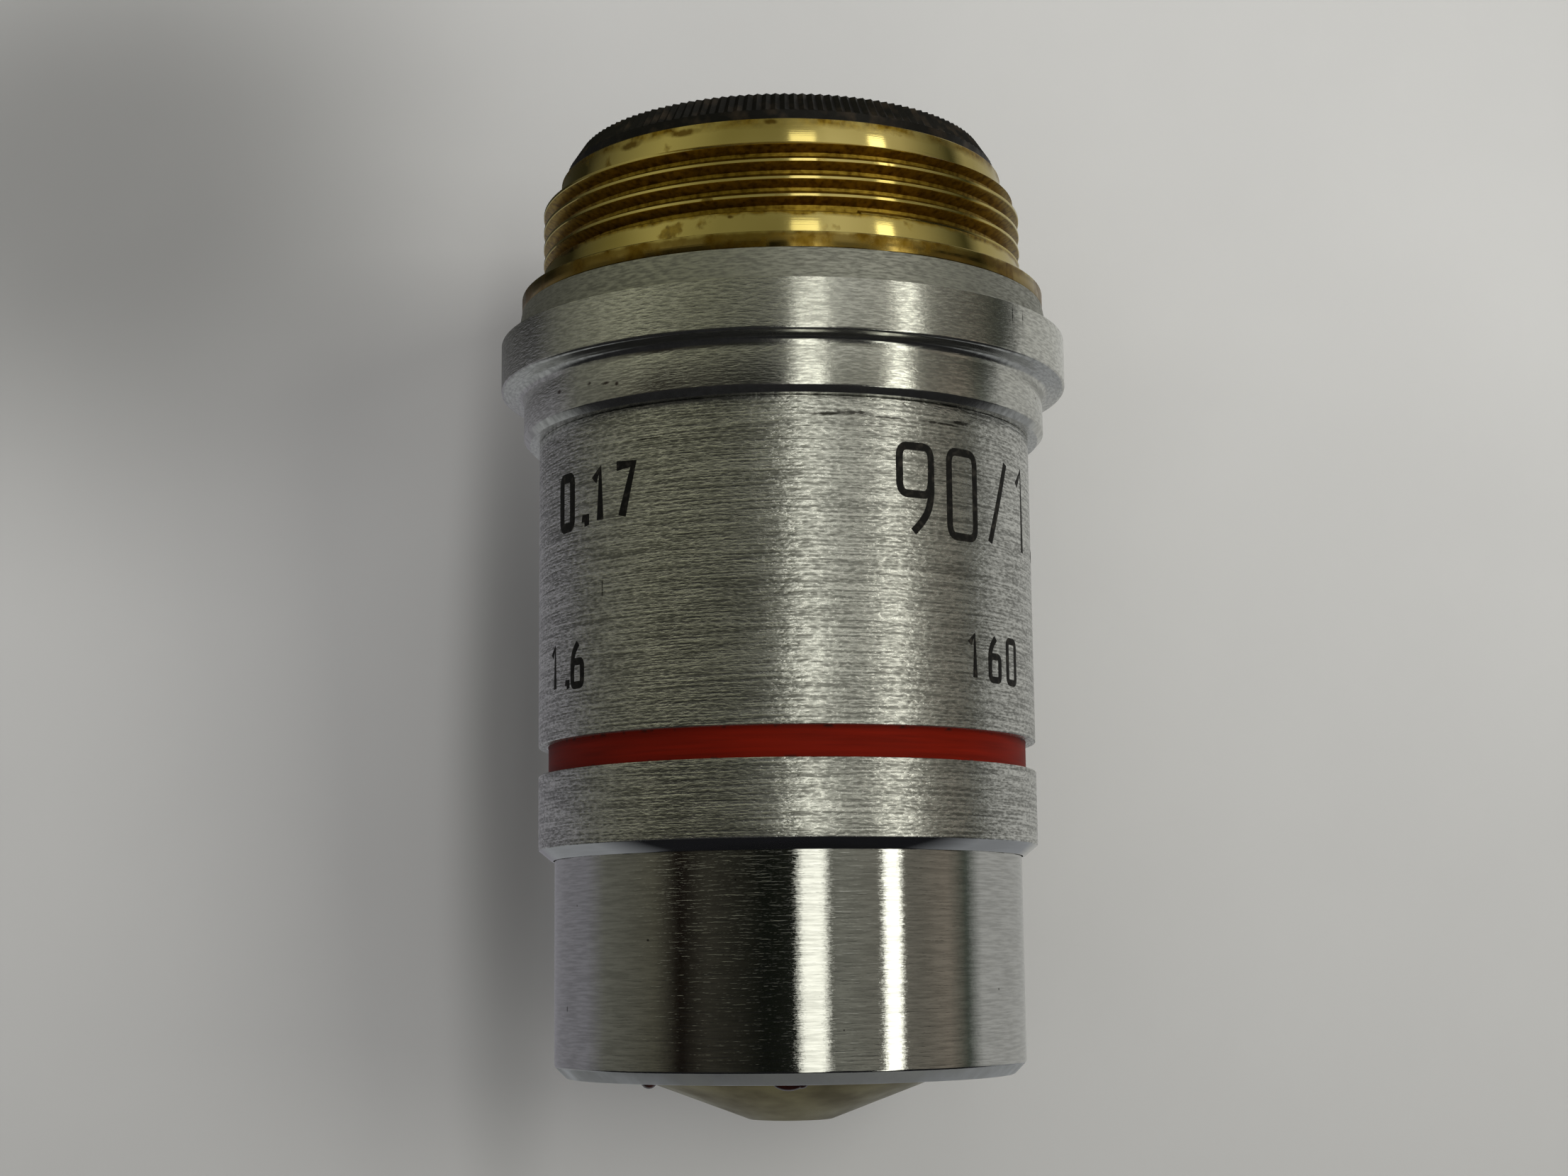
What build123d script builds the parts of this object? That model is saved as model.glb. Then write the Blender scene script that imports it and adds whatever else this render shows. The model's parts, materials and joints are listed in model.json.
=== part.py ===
# Oil-immersion microscope objective with a spring-loaded nose, in millimetres.
# The optical axis is Z. The origin is the centre of the seat that meets the nosepiece,
# the thread points down to -Z and the front lens points up to +Z.
from build123d import *
import math
import os

# Mounting thread: 0.8 inch by 36 threads per inch, drawn as a plain cylinder at its major diameter
THREAD_DIAMETER = 20.2
THREAD_LENGTH = 3.8
THREAD_LEAD = 0.3
PILOT_STEP = 0.75
PILOT_LENGTH = 1.25
SEAT_STEP = 0.75
SEAT_THICKNESS = 0.65
SEAT_CORNER = 0.1

# Shoulder ring: tapered land, finger flange and collar
LAND_LENGTH = 1.38
LAND_TAPER = 0.25
FLANGE_STEP = 0.85
FLANGE_LENGTH = 2.06
FLANGE_EDGE = 0.12
COLLAR_STEP = 0.65
COLLAR_LENGTH = 2.15
COLLAR_CHAMFER = 0.26
COLLAR_CORNER = 0.3

# Barrel sleeve with the colour band
BARREL_DIAMETER = 20.5
BARREL_LENGTH = 17.26
BARREL_WALL = 0.92
MOUTH_WALL = 0.61
MOUTH_CHAMFER = 0.44
MOUTH_LAND = 0.08
BAND_WIDTH = 1.22
BAND_RECESS = 0.39
BAND_TO_MOUTH = 3.42
ENAMEL_THICKNESS = 0.1

# Sliding nose
NOSE_REACH = 8.7
NOSE_CHAMFER = 0.48
NOSE_WALL = 1.25
NOSE_FRONT_WALL = 1.5
NOSE_ENGAGEMENT = 0.55
NOSE_TRAVEL = 2.5
TRAVEL_CLEARANCE = 0.1

# Front lens cell
CONE_BASE_DIAMETER = 12.1
CONE_TIP_DIAMETER = 3.4
CONE_LENGTH = 1.74
CONE_RIM = 0.1
FRONT_CELL_DEPTH = 3.0
FRONT_CELL_RATIO = 0.791
FRONT_LENS_RADIUS = 0.95
FRONT_LENS_THICKNESS = 1.42
FRONT_LENS_RECESS = 0.02
THROAT_HALF_ANGLE = 50

# Rear retaining ring
REAR_RING_STEP = 0.25
REAR_RING_HEIGHT = 1.3
REAR_BEVEL_LENGTH = 0.85
REAR_BEVEL_DEPTH = 0.56
REAR_LIP = 1.31
REAR_APERTURE_CHAMFER = 0.4
REAR_THREAD_STEP = 0.21
REAR_SPIGOT_LENGTH = 1.95

# Spigot, guide bore and lens tube. Each ratio is to the radius that the bore or the tube lies within
BORE_RATIO = 0.783
GUIDE_RATIO = 0.874
NECK_RATIO = 0.905
STACK_RATIO = 0.668
LIGHT_RATIO = 0.496
SPIGOT_ENGAGEMENT = 5.8
SPIGOT_CHAMFER = 0.3
GUIDE_LENGTH = 5.0
TUBE_FLANGE_LENGTH = 2.0
TUBE_GUIDED_LENGTH = 11.0

# Guide screw and its slot
SCREW_DIAMETER = 1.4
SCREW_DOG_DIAMETER = 1.0
SCREW_DOG_DEPTH = 0.7
SCREW_SLOT_WIDTH = 0.25
SCREW_SLOT_DEPTH = 0.35
SCREW_SINK = 0.1
SLOT_FLOOR_CLEARANCE = 0.15

# Return spring
SPRING_WIRE = 0.6
SPRING_BORE_GAP = 0.3
SPRING_TURNS = 5.5

# Lens groups behind the front lens, from the front
MENISCUS_RATIO = 0.672
MENISCUS_THICKNESS = 1.1
MENISCUS_REAR_RADIUS = 3.1
MENISCUS_FRONT_RADIUS = 4.6
MIDDLE_CELL_LENGTH = 4.6
MIDDLE_LENS_RATIO = 0.725
MIDDLE_CROWN_THICKNESS = 2.5
MIDDLE_FLINT_THICKNESS = 0.8
MIDDLE_FRONT_RADIUS = 7.0
MIDDLE_CEMENT_RADIUS = 6.0
MIDDLE_REAR_RADIUS = 20.0
SPACER_LENGTH = 3.0
SPACER_WALL = 1.0
REAR_CELL_LENGTH = 5.1
REAR_LENS_RATIO = 0.758
REAR_CROWN_THICKNESS = 2.3
REAR_FLINT_THICKNESS = 0.9
REAR_FRONT_RADIUS = 9.0
REAR_CEMENT_RADIUS = 7.0
REAR_REAR_RADIUS = 25.0
LENS_LIP = 0.35
LENS_LIP_LENGTH = 0.5
CEMENT_GAP = 0.01
VERTEX_CLEARANCE = 0.15

# Aperture stop and its retainer at the rear of the lens tube
STOP_RATIO = 0.712
STOP_OPENING_RATIO = 0.495
STOP_THICKNESS = 0.4
STOP_RETAINER_LENGTH = 0.8
STOP_RETAINER_WALL = 1.2

# Retaining rings that hold the cemented lenses
RETAINER_LENGTH = 0.7
RETAINER_NOTCH_WIDTH = 0.8
RETAINER_NOTCH_DEPTH = 0.35

# Radial clearances
SCREWED_FIT = 0.03
SLIDING_FIT = 0.06
LENS_FIT = 0.02

# Outer radii. The mount's follow the thread, and the barrel's neighbours step out of or into the barrel
thread_r = THREAD_DIAMETER / 2
pilot_r = thread_r - PILOT_STEP
rear_ring_r = pilot_r - REAR_RING_STEP
barrel_r = BARREL_DIAMETER / 2
seat_r = max(barrel_r, thread_r) + SEAT_STEP
collar_r = barrel_r + COLLAR_STEP
flange_r = seat_r + FLANGE_STEP
mouth_r = barrel_r - MOUTH_WALL
nose_r = mouth_r - SLIDING_FIT
spigot_bore_r = barrel_r - BARREL_WALL
spigot_r = spigot_bore_r - SCREWED_FIT

# Inner radii, from the spring's bore to the lenses
spring_bore_r = BORE_RATIO * min(barrel_r, thread_r)
rear_spigot_r = spring_bore_r + REAR_THREAD_STEP
rear_aperture_r = spring_bore_r - REAR_LIP
tube_flange_r = spring_bore_r - SLIDING_FIT
guide_r = GUIDE_RATIO * spring_bore_r
tube_r = guide_r - SLIDING_FIT
neck_r = NECK_RATIO * tube_r
stack_bore_r = STACK_RATIO * tube_r
stack_r = stack_bore_r - SCREWED_FIT
light_r = LIGHT_RATIO * tube_r
stop_bore_r = STOP_RATIO * tube_r
stop_r = stop_bore_r - SCREWED_FIT
cell_bore_r = FRONT_CELL_RATIO * stack_r
meniscus_cell_r = cell_bore_r - SCREWED_FIT
meniscus_r = MENISCUS_RATIO * meniscus_cell_r
middle_lens_r = MIDDLE_LENS_RATIO * stack_r
rear_lens_r = REAR_LENS_RATIO * stack_r

# Heights along the optical axis, from the rear to the front
mount_rear = -THREAD_LENGTH - PILOT_LENGTH
ring_rear = mount_rear - REAR_RING_HEIGHT
spring_rear = mount_rear + REAR_SPIGOT_LENGTH
flange_rear = SEAT_THICKNESS + LAND_LENGTH
flange_front = flange_rear + FLANGE_LENGTH
barrel_rear = flange_front + COLLAR_LENGTH
spigot_front = barrel_rear + SPIGOT_ENGAGEMENT
ledge = spigot_front - GUIDE_LENGTH
tube_rear = ledge - TUBE_FLANGE_LENGTH
mouth = barrel_rear + BARREL_LENGTH
band_front = mouth - BAND_TO_MOUTH
band_rear = band_front - BAND_WIDTH
nose_rear = mouth - NOSE_ENGAGEMENT
nose_pocket = nose_rear - NOSE_TRAVEL - TRAVEL_CLEARANCE
nose_face = mouth + NOSE_REACH
tube_front = nose_face - NOSE_FRONT_WALL
tip = nose_face + CONE_LENGTH
front_cell_rear = nose_face - FRONT_CELL_DEPTH
middle_cell_rear = front_cell_rear - MIDDLE_CELL_LENGTH
spacer_rear = middle_cell_rear - SPACER_LENGTH
stack_rear = spacer_rear - REAR_CELL_LENGTH
stop_front = tube_rear + STOP_RETAINER_LENGTH + STOP_THICKNESS
screw_height = (ledge + spigot_front) / 2


def turned(*corners):
    """A solid of revolution about the optical axis, from (radius, height) corners."""
    return revolve(Plane.XZ * make_face(Polyline(*corners, close=True)), axis=Axis.Z)


def sag(radius, r):
    """Depth of a spherical surface at distance r from the axis. A negative radius gives a negative depth."""
    return math.copysign(abs(radius) - math.sqrt(radius * radius - r * r), radius)


def lens(rim_r, rear, rear_radius, front, front_radius):
    """A lens between two vertices on the axis. A positive radius curves away from the vertex to +Z."""

    def arc(vertex, radius):
        middle = (rim_r / 2, vertex + sag(radius, rim_r / 2))
        return ThreePointArc((0, vertex), middle, (rim_r, vertex + sag(radius, rim_r)))

    rear_arc = arc(rear, rear_radius)
    front_arc = arc(front, front_radius)
    rim = Line(rear_arc @ 1, front_arc @ 1)
    axis = Line((0, front), (0, rear))
    return revolve(Plane.XZ * make_face([rear_arc, rim, front_arc, axis]), axis=Axis.Z)


# Brass body that screws into the nosepiece
def thread_mount():
    body = turned(
        (rear_spigot_r + SCREWED_FIT, mount_rear),
        (pilot_r, mount_rear),
        (pilot_r, -THREAD_LENGTH - THREAD_LEAD),
        (thread_r, -THREAD_LENGTH),
        (thread_r, -SEAT_CORNER),
        (thread_r + SEAT_CORNER, 0),
        (seat_r, 0),
        (seat_r, SEAT_THICKNESS),
        (spigot_r, SEAT_THICKNESS),
        (spigot_r, spigot_front - SPIGOT_CHAMFER),
        (spigot_r - SPIGOT_CHAMFER, spigot_front),
        (guide_r, spigot_front),
        (guide_r, ledge),
        (spring_bore_r, ledge),
        (spring_bore_r, spring_rear),
        (rear_spigot_r + SCREWED_FIT, spring_rear),
    )
    hole = Cylinder(SCREW_DIAMETER / 2 + SCREWED_FIT, 2 * spigot_r, align=(Align.CENTER, Align.CENTER, Align.MIN))
    return body - Pos(0, 0, screw_height) * Rot(0, 90, 0) * hole


# Chromed ring with the finger flange, seated on the brass spigot
def shoulder_ring():
    return turned(
        (spigot_bore_r, SEAT_THICKNESS),
        (seat_r, SEAT_THICKNESS),
        (seat_r + LAND_TAPER, flange_rear),
        (flange_r - FLANGE_EDGE, flange_rear),
        (flange_r, flange_rear + FLANGE_EDGE),
        (flange_r, flange_front - FLANGE_EDGE),
        (flange_r - FLANGE_EDGE, flange_front),
        (collar_r + COLLAR_CORNER, flange_front),
        (collar_r, flange_front + COLLAR_CORNER),
        (collar_r, barrel_rear - COLLAR_CHAMFER),
        (collar_r - COLLAR_CHAMFER, barrel_rear),
        (spigot_bore_r, barrel_rear),
    )


# Outer sleeve that carries the engraving and the colour band
def barrel_sleeve():
    floor_r = barrel_r - BAND_RECESS - ENAMEL_THICKNESS
    return turned(
        (spigot_bore_r, barrel_rear),
        (barrel_r, barrel_rear),
        (barrel_r, band_rear),
        (floor_r, band_rear),
        (floor_r, band_front),
        (barrel_r, band_front),
        (barrel_r, mouth - MOUTH_CHAMFER),
        (mouth_r + MOUTH_LAND, mouth),
        (mouth_r, mouth),
        (mouth_r, nose_pocket),
        (spigot_bore_r, nose_pocket),
    )


# Enamel laid in the barrel's groove
def colour_band():
    face_r = barrel_r - BAND_RECESS
    floor_r = face_r - ENAMEL_THICKNESS
    return turned((floor_r, band_rear), (face_r, band_rear), (face_r, band_front), (floor_r, band_front))


# Black ring that closes the rear and carries the spring
def rear_ring():
    bevel_front = ring_rear + REAR_BEVEL_LENGTH
    return turned(
        (rear_aperture_r + REAR_APERTURE_CHAMFER, ring_rear),
        (rear_ring_r - REAR_BEVEL_DEPTH, ring_rear),
        (rear_ring_r, bevel_front),
        (rear_ring_r, mount_rear),
        (rear_spigot_r, mount_rear),
        (rear_spigot_r, spring_rear),
        (rear_aperture_r, spring_rear),
        (rear_aperture_r, ring_rear + REAR_APERTURE_CHAMFER),
    )


# Compression spring with both ends ground flat on its seats. Its round wire is drawn with eight flats
def return_spring():
    wire_r = SPRING_WIRE / 2
    mean_r = spring_bore_r - SPRING_BORE_GAP - wire_r
    length = tube_rear - spring_rear
    pitch = length / SPRING_TURNS
    path = Pos(0, 0, spring_rear) * Helix(pitch, length, mean_r)
    section = Plane(origin=path @ 0, x_dir=(1, 0, 0), z_dir=path % 0) * RegularPolygon(wire_r, 8)
    coil = sweep(section, path=path, is_frenet=True)
    seats = Pos(0, 0, spring_rear) * Cylinder(
        mean_r + SPRING_WIRE, length, align=(Align.CENTER, Align.CENTER, Align.MIN)
    )
    return coil & seats


# Dog-point screw that keeps the nose from turning
def guide_screw():
    body_length = spigot_r - SCREW_SINK - guide_r
    dog_length = SLIDING_FIT + SCREW_DOG_DEPTH
    low = (Align.CENTER, Align.CENTER, Align.MIN)
    screw = Cylinder(SCREW_DIAMETER / 2, body_length, align=low)
    screw += Pos(0, 0, -dog_length) * Cylinder(SCREW_DOG_DIAMETER / 2, dog_length, align=low)
    driver = Box(SCREW_DIAMETER, SCREW_SLOT_WIDTH, SCREW_SLOT_DEPTH, align=low)
    screw -= Pos(0, 0, body_length - SCREW_SLOT_DEPTH) * driver
    return Pos(guide_r, 0, screw_height) * Rot(0, 90, 0) * screw


# Tube that slides in the guide bore and holds the lens stack
def lens_tube():
    shoulder = ledge + TUBE_GUIDED_LENGTH
    tube = turned(
        (stop_bore_r, tube_rear),
        (tube_flange_r, tube_rear),
        (tube_flange_r, ledge),
        (tube_r, ledge),
        (tube_r, shoulder),
        (neck_r, shoulder),
        (neck_r, tube_front),
        (stack_bore_r, tube_front),
        (stack_bore_r, stack_rear),
        (light_r, stack_rear),
        (light_r, stop_front),
        (stop_bore_r, stop_front),
    )
    slot_width = SCREW_DOG_DIAMETER + 2 * SLIDING_FIT
    slot_length = slot_width + NOSE_TRAVEL + 2 * TRAVEL_CLEARANCE
    slot_floor = tube_r - SCREW_DOG_DEPTH - SLOT_FLOOR_CLEARANCE
    slot_rear = screw_height - slot_width / 2 - TRAVEL_CLEARANCE
    slot = Box(tube_r, slot_width, slot_length, align=(Align.MIN, Align.CENTER, Align.MIN))
    return tube - Pos(slot_floor, 0, slot_rear) * slot


# Polished cup that shows below the barrel, clamped on the tube by the front cell
def nose_sleeve():
    inner_r = nose_r - NOSE_WALL
    return turned(
        (inner_r, nose_rear),
        (nose_r, nose_rear),
        (nose_r, nose_face - NOSE_CHAMFER),
        (nose_r - NOSE_CHAMFER, nose_face),
        (stack_bore_r, nose_face),
        (stack_bore_r, tube_front),
        (inner_r, tube_front),
    )


def meniscus_step():
    """Height of the step in the front cell that the meniscus cell is pushed against."""
    rim_depth = sag(MENISCUS_FRONT_RADIUS, meniscus_r)
    return front_cell_rear + VERTEX_CLEARANCE + MENISCUS_THICKNESS + rim_depth + LENS_LIP_LENGTH


# Conical cell that screws into the tube and carries the front lens at its tip
def front_cell():
    ball = tip - FRONT_LENS_RECESS - FRONT_LENS_THICKNESS + FRONT_LENS_RADIUS
    seat_step = meniscus_step()
    half_angle = math.radians(THROAT_HALF_ANGLE)
    throat_r = FRONT_LENS_RADIUS * math.sin(half_angle)
    throat = ball - FRONT_LENS_RADIUS * math.cos(half_angle)
    funnel_r = meniscus_r - LENS_LIP
    cell = turned(
        (cell_bore_r, front_cell_rear),
        (stack_r, front_cell_rear),
        (stack_r, nose_face),
        (CONE_BASE_DIAMETER / 2, nose_face),
        (CONE_BASE_DIAMETER / 2, nose_face + CONE_RIM),
        (CONE_TIP_DIAMETER / 2, tip),
        (0, tip),
        (0, throat),
        (throat_r, throat),
        (funnel_r, seat_step),
        (cell_bore_r, seat_step),
    )
    return cell - Pos(0, 0, ball) * Sphere(FRONT_LENS_RADIUS + LENS_FIT)


# Truncated ball with its flat face at the tip
def front_lens():
    face = tip - FRONT_LENS_RECESS
    ball = Pos(0, 0, face - FRONT_LENS_THICKNESS + FRONT_LENS_RADIUS) * Sphere(FRONT_LENS_RADIUS)
    width = 4 * FRONT_LENS_RADIUS
    beyond = Box(width, width, width, align=(Align.CENTER, Align.CENTER, Align.MIN))
    return ball - Pos(0, 0, face) * beyond


def lens_cell(outer_r, rear, front, lens_r, lip_rear):
    """A ring that holds a lens against a lip at its front and is open behind."""
    bore_r = lens_r + LENS_FIT
    lip_r = lens_r - LENS_LIP
    return turned(
        (bore_r, rear),
        (outer_r, rear),
        (outer_r, front),
        (lip_r, front),
        (lip_r, lip_rear),
        (bore_r, lip_rear),
    )


def retaining_ring(outer_r, inner_r, rear, front):
    """A thin screwed ring with two notches in its rear face for a spanner."""
    ring = turned((inner_r, rear), (outer_r, rear), (outer_r, front), (inner_r, front))
    notch = Box(4 * outer_r, RETAINER_NOTCH_WIDTH, 2 * RETAINER_NOTCH_DEPTH)
    return ring - Pos(0, 0, rear) * notch


# Thick meniscus behind the front lens, in a cell of its own
def meniscus_group():
    lip_rear = meniscus_step() - LENS_LIP_LENGTH
    front = lip_rear - sag(MENISCUS_FRONT_RADIUS, meniscus_r)
    rear = front - MENISCUS_THICKNESS
    cell = lens_cell(meniscus_cell_r, front_cell_rear, meniscus_step(), meniscus_r, lip_rear)
    glass = lens(meniscus_r, rear, MENISCUS_REAR_RADIUS, front, MENISCUS_FRONT_RADIUS)
    return {"meniscus_cell": cell, "meniscus_lens": glass}


def cemented_group(name, rear, front, lens_r, crown_thickness, flint_thickness, radii):
    """A cell with a cemented crown and flint, held by a retaining ring. The crown faces the front."""
    front_radius, cement_radius, rear_radius = radii
    lip_r = lens_r - LENS_LIP
    crown_front = front - VERTEX_CLEARANCE
    lip_rear = crown_front - sag(front_radius, lip_r)
    crown_rear = crown_front - crown_thickness
    flint_front = crown_rear - CEMENT_GAP
    flint_rear = flint_front - flint_thickness
    ring_front = flint_rear + sag(rear_radius, lip_r)
    ring_r = lens_r + LENS_FIT - SCREWED_FIT
    return {
        name + "_cell": lens_cell(stack_r, rear, front, lens_r, lip_rear),
        name + "_crown": lens(lens_r, crown_rear, cement_radius, crown_front, -front_radius),
        name + "_flint": lens(lens_r, flint_rear, rear_radius, flint_front, cement_radius),
        name + "_retainer": retaining_ring(ring_r, lip_r, ring_front - RETAINER_LENGTH, ring_front),
    }


# Ring that keeps the two cemented groups apart
def spacer_ring():
    inner_r = stack_r - SPACER_WALL
    return turned(
        (inner_r, spacer_rear), (stack_r, spacer_rear), (stack_r, middle_cell_rear), (inner_r, middle_cell_rear)
    )


# Blackened disc that limits the beam, and the ring that holds it
def stop_group():
    opening_r = STOP_OPENING_RATIO * stop_r
    stop_rear = stop_front - STOP_THICKNESS
    disc = turned((opening_r, stop_rear), (stop_r, stop_rear), (stop_r, stop_front), (opening_r, stop_front))
    ring = retaining_ring(stop_r, stop_r - STOP_RETAINER_WALL, tube_rear, stop_rear)
    return {"aperture_stop": disc, "stop_retainer": ring}


parts = {
    "rear_ring": rear_ring(),
    "thread_mount": thread_mount(),
    "shoulder_ring": shoulder_ring(),
    "barrel_sleeve": barrel_sleeve(),
    "colour_band": colour_band(),
    "return_spring": return_spring(),
    "guide_screw": guide_screw(),
    "lens_tube": lens_tube(),
    "nose_sleeve": nose_sleeve(),
    "front_cell": front_cell(),
    "front_lens": front_lens(),
    "spacer_ring": spacer_ring(),
}
parts.update(meniscus_group())
parts.update(
    cemented_group(
        "middle",
        middle_cell_rear,
        front_cell_rear,
        middle_lens_r,
        MIDDLE_CROWN_THICKNESS,
        MIDDLE_FLINT_THICKNESS,
        (MIDDLE_FRONT_RADIUS, MIDDLE_CEMENT_RADIUS, MIDDLE_REAR_RADIUS),
    )
)
parts.update(
    cemented_group(
        "rear",
        stack_rear,
        spacer_rear,
        rear_lens_r,
        REAR_CROWN_THICKNESS,
        REAR_FLINT_THICKNESS,
        (REAR_FRONT_RADIUS, REAR_CEMENT_RADIUS, REAR_REAR_RADIUS),
    )
)
parts.update(stop_group())

os.makedirs("parts", exist_ok=True)
for name, solid in parts.items():
    export_step(solid, "parts/" + name + ".step")
print(len(parts), "parts written, from", round(ring_rear, 3), "to", round(tip, 3), "mm")
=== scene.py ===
# Microscope objective with a spring-loaded nose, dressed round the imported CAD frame
import bpy
import bmesh
import json
import math
from mathutils import Matrix, Vector


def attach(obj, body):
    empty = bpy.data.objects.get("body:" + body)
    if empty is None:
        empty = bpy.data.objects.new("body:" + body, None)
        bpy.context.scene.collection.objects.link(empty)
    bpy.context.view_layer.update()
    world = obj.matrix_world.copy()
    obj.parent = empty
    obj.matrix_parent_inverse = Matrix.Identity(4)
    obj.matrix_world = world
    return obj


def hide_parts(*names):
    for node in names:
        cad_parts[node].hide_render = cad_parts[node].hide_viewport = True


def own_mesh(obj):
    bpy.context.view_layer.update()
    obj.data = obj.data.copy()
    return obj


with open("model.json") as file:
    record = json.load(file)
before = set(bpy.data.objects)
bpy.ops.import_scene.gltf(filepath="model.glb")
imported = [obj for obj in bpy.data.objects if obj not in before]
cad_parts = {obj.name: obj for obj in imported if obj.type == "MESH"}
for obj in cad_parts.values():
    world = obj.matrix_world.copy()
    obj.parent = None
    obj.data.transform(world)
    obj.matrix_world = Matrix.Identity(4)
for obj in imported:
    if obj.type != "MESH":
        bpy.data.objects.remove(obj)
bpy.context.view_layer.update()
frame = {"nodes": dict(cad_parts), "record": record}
mm = 0.001
scene = bpy.context.scene
scene.view_settings.view_transform = "Standard"


# sRGB hex to the linear values that the shaders take
def colour(hexText):
    parts = [int(hexText[i:i + 2], 16) / 255 for i in (1, 3, 5)]
    return tuple(c / 12.92 if c <= 0.04045 else ((c + 0.055) / 1.055) ** 2.4 for c in parts) + (1.0,)


# adds a node with its settings and links, and gives one of its outputs
# inputs are listed in the order of the sockets, or keyed by name or number, and a colour may be hex text
def addNode(tree, kind, inputs=(), out=0, **settings):
    node = tree.nodes.new("ShaderNode" + kind)
    for key, value in settings.items():
        setattr(node, key, value)
    for key, value in inputs.items() if isinstance(inputs, dict) else enumerate(inputs):
        if isinstance(value, bpy.types.NodeSocket):
            tree.links.new(value, node.inputs[key])
        else:
            node.inputs[key].default_value = colour(value) if isinstance(value, str) else value
    return node.outputs[out] if node.outputs else None


# settings of a Mix node for colours, which go into its sockets 6 and 7
inColour = {"out": 2, "data_type": "RGBA"}

# ranges of a noise's values over which a finish changes; a piece's own ones end in From
wideNoise = (0.3, 0.7)
midNoise = (0.35, 0.65)
lowNoise = (0.3, 0.6)


def newMaterial(name):
    material = bpy.data.materials.new(name)
    material.use_nodes = True
    tree = material.node_tree
    tree.nodes.clear()
    return material, tree, addNode(tree, "TexCoord", out="Object")


def closeMaterial(tree, inputs):
    addNode(tree, "OutputMaterial", {"Surface": addNode(tree, "BsdfPrincipled", inputs)})


def metres(values):
    return [v * mm for v in values]


# scale of a noise with lumps of the given size in millimetres
def lumps(size):
    return 0.5 / (size * mm)


# point in millimetres at an angle round the optical axis from the camera's side, plus towards -X
def aroundAxis(degrees, r, z):
    a = math.radians(degrees)
    return Vector((-r * math.sin(a), -r * math.cos(a), z))


# distance from the optical axis
def reach(tree, coords):
    flat = addNode(tree, "VectorMath", [coords, (1, 1, 0)], operation="MULTIPLY")
    return addNode(tree, "VectorMath", [flat], "Value", operation="LENGTH")


# turned marks: noise drawn out round the axis, one mark every pitch along a wall or out across a flat face
def turnedMarks(tree, coords, pitch, streak, detail=2.0):
    x, y, z = addNode(tree, "SeparateXYZ", [coords]).node.outputs
    along = addNode(tree, "Math", [z, reach(tree, coords)], operation="ADD")
    unrolled = addNode(tree, "CombineXYZ", [x, y, along])
    scale = (1 / (streak * mm), 1 / (streak * mm), 2 / (pitch * mm))
    drawn = addNode(tree, "Mapping", {"Vector": unrolled, "Scale": scale})
    return addNode(tree, "TexNoise", {"Vector": drawn, "Scale": 1.0, "Detail": detail, "Roughness": 0.55})


# a soft ball, 1 at its centre and 0 at its skin, with its place and half sizes in millimetres
def softBall(tree, coords, place, half, turn=0.0):
    local = addNode(tree, "Mapping", {"Vector": coords, "Location": metres(place), "Rotation": (0, 0, turn),
                                      "Scale": metres(half)}, vector_type="TEXTURE")
    return addNode(tree, "TexGradient", [local], "Fac", gradient_type="SPHERICAL")


# how far a spot reaches into the wall in millimetres, and how its strength comes in
spotShape = {"intoWall": 3.0, "strengthFrom": (0.08, 0.5), "most": 0.85}


# the strongest of several soft spots on a turned surface, broken up by noise
# a spot is its angle from the camera's side, radius, height, and half sizes round and along the axis
def spots(tree, coords, places, broken):
    total = 0.0
    for angle, r, height, along, across in places:
        half = (along, spotShape["intoWall"], across)
        ball = softBall(tree, coords, aroundAxis(angle, r, height), half, -math.radians(angle))
        total = addNode(tree, "Math", [ball, total], operation="MAXIMUM")
    strength = addNode(tree, "Math", [total, broken], operation="MULTIPLY")
    return addNode(tree, "MapRange", [strength, *spotShape["strengthFrom"], 0.0, spotShape["most"]])


# camera at the photograph's place: it looks along +Y, rolled so that the thread is at the top
cameraSetup = {
    "place": (0.11, -103.467, 27.69), "tilt": 8.523, "roll": 179.36, "yaw": 0.033,
    "lens": 57.38, "sensor": 36.0, "clipStart": 0.002, "clipEnd": 20.0,
}


def makeCamera(setup):
    data = bpy.data.cameras.new("mainCamera")
    data.lens = setup["lens"]
    data.sensor_width = setup["sensor"]
    data.clip_start = setup["clipStart"]
    data.clip_end = setup["clipEnd"]
    camera = bpy.data.objects.new("mainCamera", data)
    scene.collection.objects.link(camera)
    turn = (Matrix.Rotation(math.radians(setup["yaw"]), 4, "Z")
            @ Matrix.Rotation(math.radians(90 - setup["tilt"]), 4, "X")
            @ Matrix.Rotation(math.radians(setup["roll"]), 4, "Z"))
    camera.matrix_world = Matrix.Translation(Vector(setup["place"]) * mm) @ turn
    scene.camera = camera


makeCamera(cameraSetup)
print("camera set")

# strip lights, each with a faint whole length and two brighter sections that leave a gap for the flange
# a strip's radiances are in the order of the sections
stripSections = [
    {"suffix": "", "distance": 420.0, "rear": -190.0, "front": 420.0},
    {"suffix": "Front", "distance": 400.0, "rear": -74.0, "front": 400.0},
    {"suffix": "Rear", "distance": 410.0, "rear": -190.0, "front": -121.0},
]
strips = [
    {"name": "nearStrip", "angle": 11.1, "width": 12.8, "radiances": (0.14, 1.41, 1.0)},
    {"name": "farStrip", "angle": 50.0, "width": 8.7, "radiances": (0.18, 2.02, 1.7)},
]
softBox = {"place": (-400.0, -330.0, -70.0), "target": (0, 0, 12), "size": 300.0, "power": 1.25}
lampTint = "#fffff1"


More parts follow.
